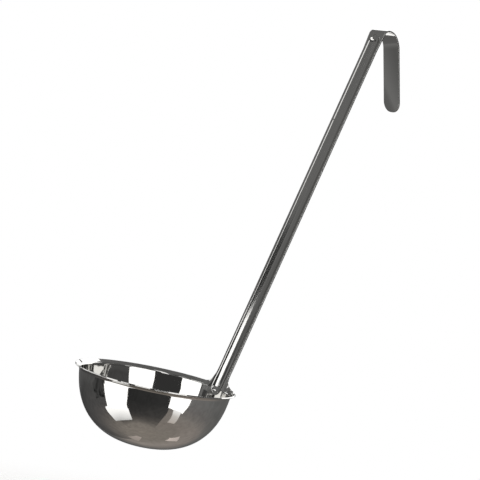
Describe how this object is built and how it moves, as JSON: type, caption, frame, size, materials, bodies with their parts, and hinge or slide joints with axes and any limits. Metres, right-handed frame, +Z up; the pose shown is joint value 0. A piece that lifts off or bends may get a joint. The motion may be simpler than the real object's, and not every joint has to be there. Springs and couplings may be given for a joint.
{
  "type": "soup ladle",
  "caption": "One-piece pressed steel soup ladle: round deep bowl with a flared lip, a leaning grooved strip handle and a hooked end for hanging.",
  "frame": {"origin": "the hook's seat: the underside of the crest of the hook, where a rail carries the hanging ladle", "axes": "+X from the bowl towards the hook, in the plane of symmetry; +Y across the handle; +Z up along the bowl's axis, with the rim level"},
  "size_m": [0.2312, 0.123, 0.349],
  "materials": {
    "polished_steel": "mirror-polished stainless steel",
    "satin_steel": "satin stainless steel, brushed along the handle"
  },
  "bodies": {
    "root": {"bowl": "polished_steel", "rim_lip": "polished_steel", "neck": "polished_steel", "handle": "satin_steel", "hook_bend": "satin_steel", "hook_leg": "satin_steel"}
  },
  "joints": []
}
